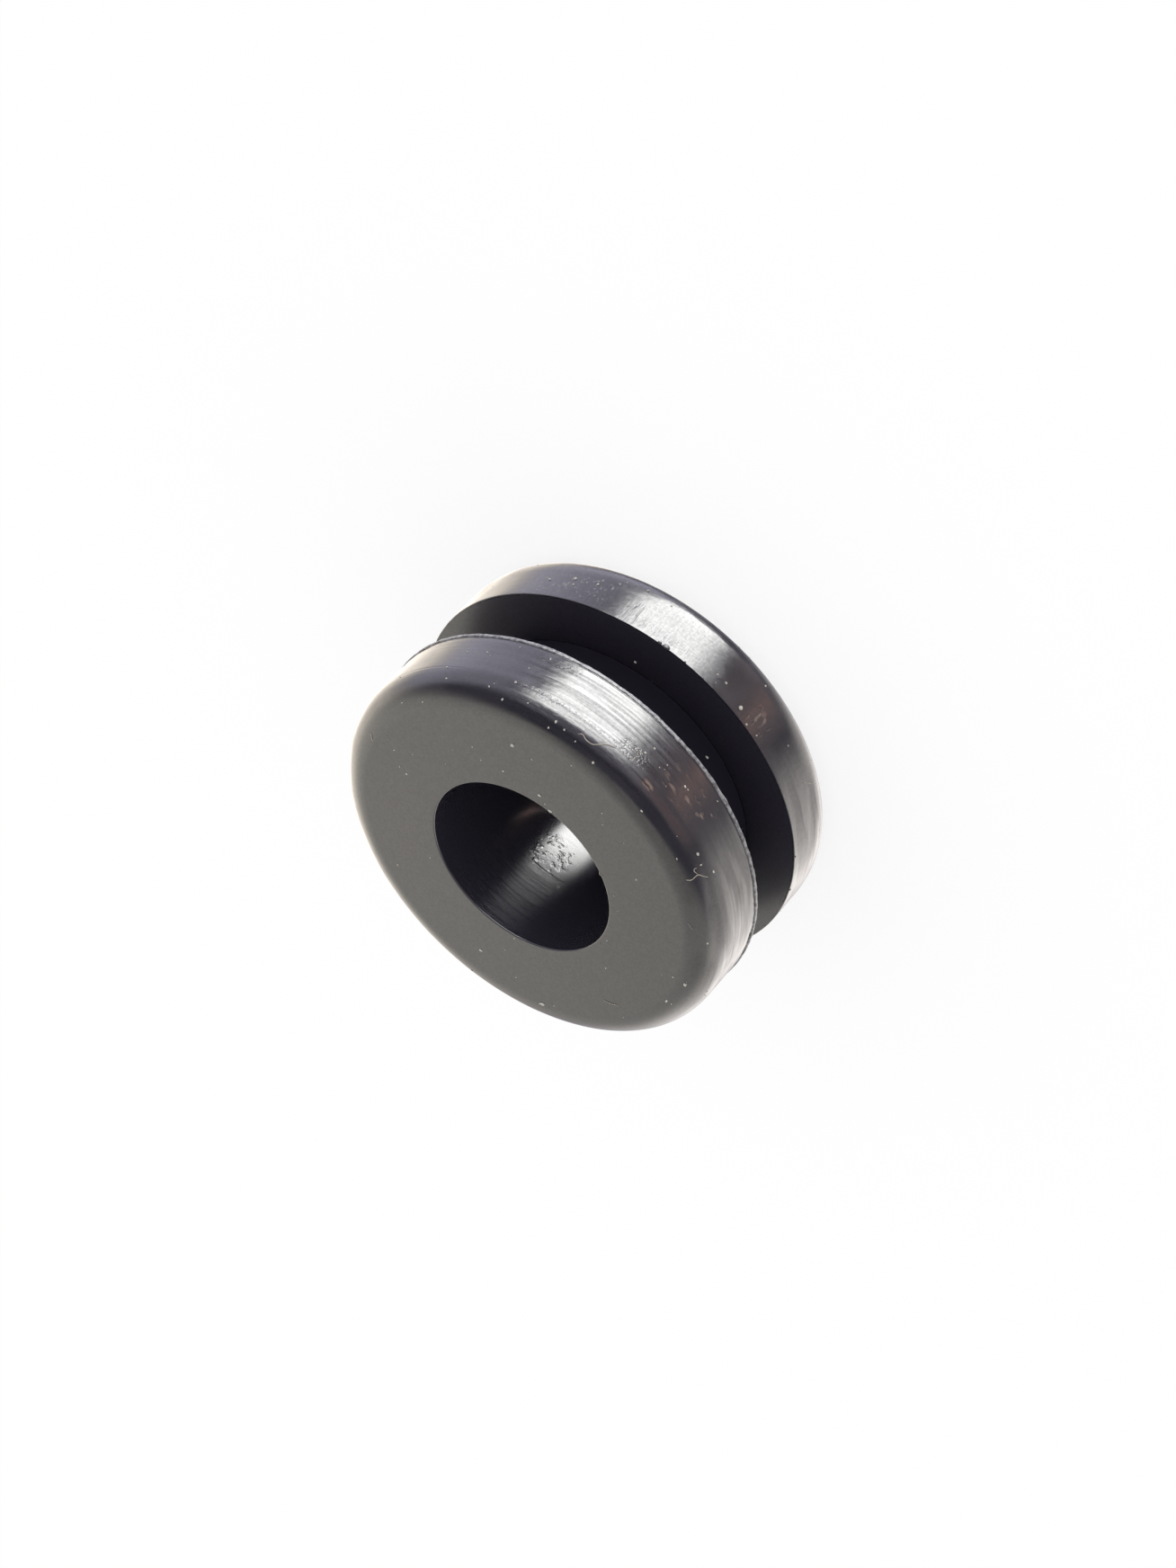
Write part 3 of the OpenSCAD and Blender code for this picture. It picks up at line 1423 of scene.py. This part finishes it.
@dataclass
class DustFlecks:
    """Specks of pale dust: those that show, and a thin sprinkle of finer ones on every side."""

    shown: tuple[Fleck, ...] = (
        Fleck(Zone.FACE, 31, 7.5, 0.17),
        Fleck(Zone.FACE, 48, 6.0, 0.07),
        Fleck(Zone.FACE, 37, 5.7, 0.09),
        Fleck(Zone.FACE, 50, 6.7, 0.05),
        Fleck(Zone.FACE, 96, 6.6, 0.07, 1.6),
        Fleck(Zone.FACE, 17, 5.3, 0.10, 1.8),
        Fleck(Zone.FACE, 13, 5.0, 0.06),
        Fleck(Zone.FACE, 9, 4.8, 0.11, 1.8),
        Fleck(Zone.FACE, -11, 6.8, 0.05),
        Fleck(Zone.FACE, -77, 8.4, 0.05),
        Fleck(Zone.FACE, -144, 8.5, 0.15, 1.8),
        Fleck(Zone.FACE, -154, 7.5, 0.06),
        Fleck(Zone.FACE, -156, 4.9, 0.06),
        Fleck(Zone.FACE, -160, 6.0, 0.06),
        Fleck(Zone.FACE, -170, 7.2, 0.09, 2.0),
        Fleck(Zone.OUTER_RIM, 63, 17, 0.05, 1.5),
        Fleck(Zone.OUTER_RIM, 56, 86, 0.06),
        Fleck(Zone.OUTER_RIM, 54, 60, 0.08, 1.4),
        Fleck(Zone.OUTER_RIM, 40, 59, 0.08),
        Fleck(Zone.OUTER_RIM, 35, 44, 0.10),
        Fleck(Zone.OUTER_RIM, 34, 84, 0.10),
        Fleck(Zone.OUTER_RIM, 28, 56, 0.07),
        Fleck(Zone.OUTER_RIM, 20, 34, 0.07),
        Fleck(Zone.OUTER_RIM, 19, 50, 0.11),
        Fleck(Zone.OUTER_RIM, 16, 46, 0.08),
        Fleck(Zone.OUTER_RIM, 12, 40, 0.07),
        Fleck(Zone.OUTER_RIM, 5, 29, 0.11),
        Fleck(Zone.OUTER_RIM, -13, 30, 0.06, 1.8),
        Fleck(Zone.OUTER_RIM, -31, 73, 0.11, 1.3),
        Fleck(Zone.OUTER_RIM, -34, 69, 0.07),
        Fleck(Zone.OUTER_RIM, -38, 88, 0.09, 1.6),
        Fleck(Zone.OUTER_RIM, -77, 16, 0.15),
        Fleck(Zone.OUTER_RIM, -89, 5, 0.09, 2.0),
        Fleck(Zone.OUTER_BAND, 54, 8.0, 0.06),
        Fleck(Zone.OUTER_BAND, 48, 7.9, 0.05),
        Fleck(Zone.OUTER_BAND, -3, 8.5, 0.10),
        Fleck(Zone.OUTER_BAND, -4, 8.0, 0.10),
        Fleck(Zone.OUTER_BAND, -8, 8.5, 0.05),
        Fleck(Zone.OUTER_BAND, -9, 8.1, 0.06),
        Fleck(Zone.OUTER_BAND, -16, 8.1, 0.08, 1.6),
        Fleck(Zone.INNER_BAND, 52, 3.1, 0.05),
        Fleck(Zone.INNER_BAND, 51, 2.3, 0.10),
        Fleck(Zone.INNER_BAND, 44, 2.0, 0.14),
        Fleck(Zone.INNER_BAND, 43, 2.4, 0.08),
        Fleck(Zone.INNER_BAND, 37, 2.0, 0.10),
        Fleck(Zone.INNER_BAND, 32, 1.5, 0.06, 1.6),
        Fleck(Zone.INNER_BAND, 26, 2.5, 0.11),
        Fleck(Zone.INNER_BAND, -3, 2.7, 0.07),
        Fleck(Zone.INNER_BAND, -4, 3.1, 0.05),
        Fleck(Zone.INNER_BAND, -6, 2.7, 0.10),
        Fleck(Zone.INNER_BAND, -13, 3.0, 0.20),
        Fleck(Zone.INNER_BAND, -17, 3.3, 0.08),
        Fleck(Zone.INNER_BAND, -21, 3.2, 0.07),
        Fleck(Zone.INNER_RIM, 25, 12, 0.10),
        Fleck(Zone.INNER_RIM, -14, 15, 0.09),
        Fleck(Zone.GROOVE_WALL, 18, 8.0, 0.10),
        Fleck(Zone.HUB, -21, 4.1, 0.10, 1.8),
        Fleck(Zone.BORE, -156, 6.8, 0.08),
    )
    swell: float = 1.05  # over the speck's own size, for the halo of finer dust round it
    sprinkled: int = 90
    finest: float = 0.025
    coarsest: float = 0.055
    seed: int = 7
    longest: float = 2.5  # of the finer ones, length over width
    lump: float = 0.07
    lump_height: float = 0.06
    bore_clear: float = 0.2  # mm that the finer specks keep off an edge
    flash_clear: float = 0.3
    edge_clear: float = 0.1
    rim_reach: tuple[float, float] = (5, 85)  # degrees along a rounding that they lie on
    low_rim_reach: tuple[float, float] = (5, 60)

    def sprinkle(self) -> list[Fleck]:
        """Scatters the finer specks over the open surfaces, all the way round.

        Returns:
            The specks.
        """
        chance = random.Random(self.seed)
        reach = {
            Zone.FACE: (SECTION.bore_r + self.bore_clear, SECTION.flange_r - SECTION.outer_rim_r),
            Zone.OUTER_RIM: self.rim_reach,
            Zone.OUTER_BAND: (SECTION.groove_top + self.flash_clear, SECTION.height - SECTION.outer_rim_r),
            Zone.INNER_BAND: (SECTION.inner_rim_r, SECTION.inner_flange_t - self.edge_clear),
            Zone.INNER_RIM: self.low_rim_reach,
        }
        zones = list(reach)
        return [
            Fleck(
                zone,
                chance.uniform(-HALF_DEGREES, HALF_DEGREES),
                chance.uniform(*reach[zone]),
                chance.uniform(self.finest, self.coarsest),
                chance.uniform(1.0, self.longest),
            )
            for zone in (chance.choice(zones) for _ in range(self.sprinkled))
        ]

    def grain(self, fleck: Fleck) -> bpy.types.Object:
        """Models one speck.

        Args:
            fleck: the speck.

        Returns:
            The mesh object.
        """
        size = fleck.size * self.swell
        shape = (size * fleck.long, size, size)
        return grain_at(fleck.zone, fleck.angle, fleck.along, shape, self.lump, self.lump_height)

    def build(self, finish: bpy.types.Material) -> bpy.types.Object:
        """Models a lumpy grain for each speck and joins them.

        Args:
            finish: the dust.

        Returns:
            The piece.
        """
        made = [self.grain(fleck) for fleck in (*self.shown, *self.sprinkle())]
        return finish_piece(join(made), "dust_flecks", finish)


@dataclass(frozen=True)
class Fibre:
    """One lint fibre: its waypoints as zone, angle and place along, and its thickness in millimetres."""

    waypoints: tuple[tuple[Zone, float, float], ...]
    thickness: float = 0.035


@dataclass
class Lint:
    """Short curled fibres that cling to the rubber."""

    fibres: tuple[Fibre, ...] = (
        Fibre(
            (
                (Zone.OUTER_RIM, 12.5, 54),
                (Zone.OUTER_RIM, 11.5, 58),
                (Zone.OUTER_RIM, 10, 54),
                (Zone.OUTER_RIM, 8, 55),
                (Zone.OUTER_RIM, 6.5, 63),
                (Zone.OUTER_RIM, 5, 72),
                (Zone.OUTER_RIM, 3, 77),
            )
        ),
        Fibre(((Zone.OUTER_RIM, -2, 78), (Zone.OUTER_RIM, -2, 86), (Zone.OUTER_BAND, -1.5, 8.6))),
        Fibre(
            (
                (Zone.OUTER_RIM, -36, 33),
                (Zone.OUTER_RIM, -36.5, 41),
                (Zone.OUTER_RIM, -36, 57),
                (Zone.OUTER_RIM, -37, 64),
                (Zone.OUTER_RIM, -38, 72),
            )
        ),
        Fibre(((Zone.OUTER_RIM, -36, 57), (Zone.OUTER_RIM, -34, 54), (Zone.OUTER_RIM, -34, 59))),
        Fibre(((Zone.OUTER_RIM, 94, 3), (Zone.OUTER_RIM, 93, 8), (Zone.OUTER_RIM, 92, 13)), 0.022),
        Fibre(((Zone.OUTER_RIM, -51, 12), (Zone.OUTER_RIM, -53, 19)), 0.020),
        Fibre(((Zone.FACE, 87, 8.4), (Zone.FACE, 88, 8.1)), 0.016),
        Fibre(((Zone.FACE, -33, 4.8), (Zone.FACE, -35, 4.7), (Zone.FACE, -37, 4.8)), 0.030),
        Fibre(((Zone.FACE, -57, 5.3), (Zone.FACE, -59, 5.1)), 0.020),
        Fibre(((Zone.FACE, -90, 4.8), (Zone.FACE, -93, 5.0)), 0.020),
        Fibre(((Zone.FACE, -110, 7.9), (Zone.FACE, -113, 7.7), (Zone.FACE, -115, 7.5)), 0.026),
        Fibre(((Zone.INNER_BAND, -41, 1.9), (Zone.INNER_BAND, -43, 1.5), (Zone.INNER_RIM, -44, 8)), 0.024),
        Fibre(((Zone.OUTER_BAND, 140, 8.2), (Zone.OUTER_BAND, 144, 8.6), (Zone.OUTER_BAND, 147, 8.4)), 0.024),
        Fibre(((Zone.INNER_BAND, -130, 2.0), (Zone.INNER_BAND, -134, 2.5)), 0.022),
    )
    lift: float = 0.02
    tip: float = 0.5  # a fibre's thickness at its ends, over that between them
    roundness: int = 2
    smoothness: int = 5

    def fibre(self, fibre: Fibre) -> bpy.types.Object:
        """Models one fibre as a smooth thin tube through its waypoints.

        Args:
            fibre: the fibre.

        Returns:
            The mesh object.
        """
        deselect_all()
        bpy.ops.curve.primitive_nurbs_path_add()
        path = bpy.context.object
        path.data.splines.clear()
        spline = path.data.splines.new("BEZIER")
        spline.bezier_points.add(len(fibre.waypoints) - 1)
        for point, (zone, angle, along) in zip(spline.bezier_points, fibre.waypoints):
            point.co = SECTION.spot(zone, angle, along, self.lift)[0]
            point.handle_left_type = point.handle_right_type = "AUTO"
        spline.bezier_points[0].radius = spline.bezier_points[-1].radius = self.tip
        spline.resolution_u = self.smoothness
        path.data.dimensions = "3D"
        path.data.bevel_depth = fibre.thickness / 2
        path.data.bevel_resolution = self.roundness
        path.data.use_fill_caps = True
        bpy.ops.object.convert(target="MESH")
        bpy.ops.object.shade_smooth()
        return bpy.context.object

    def build(self, finish: bpy.types.Material) -> bpy.types.Object:
        """Models the fibres and joins them.

        Args:
            finish: the lint.

        Returns:
            The piece.
        """
        return finish_piece(join([self.fibre(fibre) for fibre in self.fibres]), "lint_fibres", finish)


# --------------------------------------------------------------------------------------------------
# The studio
# --------------------------------------------------------------------------------------------------


@dataclass(frozen=True)
class SoftBox:
    """One soft-edged panel in the room round the seal, as its gloss sees it. All angles in degrees.

    An upright wall mirrors the room at twice its own angle round the axis, so a panel is placed by
    the two wall angles between which it shows.
    """

    name: str
    wall_from: float
    wall_to: float
    low: float  # above the horizon, the panel's foot and its top
    high: float
    soft: float  # over which its edges fade
    colour: str
    radiance: float

    @property
    def azimuth(self) -> float:
        """Middle of the panel round the axis: twice the middle wall angle."""
        return self.wall_from + self.wall_to

    @property
    def width(self) -> float:
        """Breadth of the panel round the axis: twice the breadth that shows on the wall."""
        return 2 * (self.wall_to - self.wall_from)

    @property
    def elevation(self) -> float:
        """Middle of the panel above the horizon."""
        return (self.low + self.high) / 2

    @property
    def height(self) -> float:
        """Height of the panel from its foot to its top."""
        return self.high - self.low

    @property
    def light(self) -> list[float]:
        """Its radiance as linear red, green and blue."""
        return [self.radiance * c for c in linear(self.colour)[:3]]


@dataclass
class Studio:
    """Floor, room and lights: a white room, and the panels that the seal's gloss mirrors."""

    room_colour: str = "#F4EEFF"
    room_radiance: float = 0.4
    panels: tuple[SoftBox, ...] = (
        SoftBox("window", 1, 26, -70, 8, 9, "#FFFFFC", 18),
        SoftBox("window_frame", -5, 30, 5, 35, 15, "#F8F5FF", 1.6),
        SoftBox("blue_wall", 30, 60, -75, 15, 12, "#EAE8FA", 2.0),
        SoftBox("warm_wall", 62, 90, -50, 15, 12, "#FFF4E0", 2.2),
        SoftBox("brown_card", -26, -4, -70, 30, 6, "#FFEAE2", 0.7),
        SoftBox("hand", -20, -16, -50, -25, 5, "#FFBCA0", 1.3),
        SoftBox("sleeve", -24, -9, -5, 22, 6, "#FF9480", 0.35),
        SoftBox("pale_wall", -80, -34, -70, 15, 18, "#FFF9F0", 2.4),
        SoftBox("far_wall", 60, 135, 10, 90, 20, "#FFFCE8", 1.2),
        SoftBox("end_wall", 68, 90, 15, 60, 14, "#FFF8E8", 0.7),
    )
    most_mirrored: float = 1.5  # mirrorings, past which the room is dark
    floor_size: float = 2.0
    shadow_share: float = 0.18
    painted_shadow_radius: float = 6.0  # mm, radius of the painted shadow on the floor under the seal, which only its gloss sees
    painted_shadow_soft: float = 0.5
    clear_from: float = 1.0  # mm from the axis, where the light that crosses that floor starts to fade
    clear_to: float = 5.2
    lit: tuple[tuple[float, float], ...] = ((-4, 105), (-73, -63))  # degrees: sectors that light crosses
    lit_soft: float = 5.0

    def world(self) -> None:
        """Builds the room: white to the camera and to matt surfaces, panels to glossy ones."""
        world = bpy.data.worlds.new("studio_room")
        bpy.context.scene.world = world
        world.use_nodes = True
        # The panels differ by kind of ray, so the room is only met by rays that bounce into it.
        world.cycles.sampling_method = "NONE"
        tree = world.node_tree
        tree.nodes.clear()
        place = add_node(tree, "ShaderNodeTexCoord").outputs["Generated"]
        axes = add_node(tree, "ShaderNodeSeparateXYZ", [place])
        back = product(tree, axes.outputs["Y"], -1.0)
        azimuth = add_node(tree, MATH, [axes.outputs["X"], back], operation="ARCTAN2")
        elevation = add_node(tree, MATH, [axes.outputs["Z"]], operation="ARCSINE")
        light = [self.room_radiance * c for c in linear(self.room_colour)[:3]]
        for panel in self.panels:
            shown = self.panel_nodes(tree, panel, azimuth, elevation)
            light = add_node(tree, VECTOR_MATH, [light, shown], operation="ADD")
        rays = add_node(tree, "ShaderNodeLightPath")
        # A second mirroring inside the bore or groove is nearly lost on black rubber.
        first = [rays.outputs["Glossy Depth"], self.most_mirrored]
        again = add_node(tree, MATH, first, operation="LESS_THAN")
        once = add_node(tree, VECTOR_MATH, {0: light, "Scale": again}, operation="SCALE")
        glossy = add_node(tree, "ShaderNodeBackground", {"Color": once})
        plain = add_node(tree, "ShaderNodeBackground", {"Color": linear(WHITE)})
        mix = add_node(tree, MIX_SHADER, [rays.outputs["Is Glossy Ray"], plain, glossy])
        add_node(tree, "ShaderNodeOutputWorld", {"Surface": mix})

    def panel_nodes(self, tree: Tree, panel: SoftBox, azimuth: Source, elevation: Source) -> bpy.types.Node:
        """Adds one panel to the room.

        Args:
            tree: the world's node tree.
            panel: the panel.
            azimuth: the ray's angle round the axis, in radians.
            elevation: the ray's angle above the horizon, in radians.

        Returns:
            The node with the panel's light.
        """
        shares = []
        for angle, centre, span in (
            (azimuth, panel.azimuth, panel.width),
            (elevation, panel.elevation, panel.height),
        ):
            away = add_node(tree, MATH, [angle, math.radians(centre)], operation="SUBTRACT")
            turned = add_node(tree, MATH, [away, math.pi, -math.pi], operation="WRAP")
            size = add_node(tree, MATH, [turned], operation="ABSOLUTE")
            outside, inside = span / 2 + panel.soft, max(span / 2 - panel.soft, 0)
            limits = [math.radians(outside), math.radians(inside)]
            shares.append(add_node(tree, STEP, [size, *limits], **SMOOTH))
        scaled = {0: panel.light, "Scale": product(tree, *shares)}
        return add_node(tree, VECTOR_MATH, scaled, operation="SCALE")

    def painted_shadow_under_seal(self, tree: Tree) -> Source:
        """Adds a mask of the painted shadow on the floor inside the bore, but for the sectors that window
        light crosses.

        Args:
            tree: the floor's node tree.

        Returns:
            The mask.
        """
        _, angle, radius, _ = polar(tree)
        mask = add_node(tree, STEP, [radius, self.painted_shadow_radius, self.painted_shadow_radius - self.painted_shadow_soft], **SMOOTH)
        for start, stop in self.lit:
            half = (stop - start) / 2
            sector = band(tree, angle, start + half, half, self.lit_soft)
            clear = add_node(tree, STEP, [radius, self.clear_to, self.clear_from], **SMOOTH)
            dark = add_node(tree, MATH, [1.0, product(tree, sector, clear)], operation="SUBTRACT")
            mask = product(tree, mask, dark)
        return mask

    def floor(self) -> None:
        """Lays the pale floor under the seal, with the seal's soft shadow on it, and a painted shadow under
        the bore that only the seal's gloss sees.
        """
        deselect_all()
        bpy.ops.mesh.primitive_plane_add(size=self.floor_size)
        floor = bpy.context.object
        floor.name = "studio_floor"
        material, tree = new_material("matt_white_paper")
        rays = add_node(tree, "ShaderNodeLightPath")
        paper = add_node(tree, "ShaderNodeBsdfDiffuse", {"Color": linear(WHITE)})
        glow = add_node(tree, "ShaderNodeEmission", {"Color": linear(WHITE), "Strength": 1.0})
        seen = add_node(tree, MIX_SHADER, [self.shadow_share, glow, paper])
        by_ray = add_node(tree, MIX_SHADER, [rays.outputs["Is Camera Ray"], paper, seen])
        clear = add_node(tree, "ShaderNodeBsdfTransparent")
        # Painted shadow: under the seal the floor is black to glossy rays, standing in for the shade there.
        dark = add_node(tree, "ShaderNodeBsdfDiffuse", {"Color": linear("#000000")})
        beneath = add_node(tree, MIX_SHADER, [self.painted_shadow_under_seal(tree), clear, dark])
        gloss = add_node(tree, MIX_SHADER, [rays.outputs["Is Glossy Ray"], by_ray, beneath])
        add_node(tree, "ShaderNodeOutputMaterial", {"Surface": gloss})
        floor.data.materials.append(material)


@dataclass(frozen=True)
class Viewpoint:
    """The camera: on the seal's near side, a good way up, rolled so that the top face looks down left."""

    aim: tuple[float, float, float] = (0.35 * MM, 0.0, 4.5 * MM)
    azimuth: float = 0.0
    elevation: float = 36.0
    distance: float = 171.0 * MM
    roll: float = -137.0
    lens: float = 86.6
    nearest: float = 10.0 * MM  # that the camera sees
    farthest: float = 20.0

    def place(self) -> bpy.types.Object:
        """Makes the camera and gives it to the scene.

        Returns:
            The camera.
        """
        data = bpy.data.cameras.new("camera")
        data.lens = self.lens
        data.sensor_fit = "AUTO"
        data.clip_start = self.nearest
        data.clip_end = self.farthest
        camera = bpy.data.objects.new("camera", data)
        bpy.context.scene.collection.objects.link(camera)
        turn = math.radians(self.azimuth)
        lift = math.radians(self.elevation)
        back = Vector((math.sin(turn) * math.cos(lift), -math.cos(turn) * math.cos(lift), math.sin(lift)))
        level = (-back).to_track_quat("-Z", "Y").to_matrix()
        rolled = level @ Matrix.Rotation(math.radians(self.roll), 3, "Z")
        camera.matrix_world = Matrix.Translation(Vector(self.aim) + back * self.distance) @ rolled.to_4x4()
        bpy.context.scene.camera = camera
        return camera


def main() -> None:
    """Builds the seal and the studio round it."""
    logging.basicConfig(level=logging.INFO, format="%(name)s: %(message)s")
    bpy.context.scene.view_settings.view_transform = "Standard"
    flash = TornFlash().material()
    SealBody().build(MouldedSkin().material(), BoreSkin().material())
    PartingFlash().build(flash)
    EdgeNubs().build(TornFlash(name="torn_rubber_nub", colour="#3C3B40", deep="#1C1B20").material())
    DustFlecks().build(BenchDust("bench_dust", "#D9D5CD").material())
    Lint().build(BenchDust("paper_lint", "#BDB3A4").material())
    studio = Studio()
    studio.world()
    studio.floor()
    Viewpoint().place()


if __name__ == "__main__":
    main()
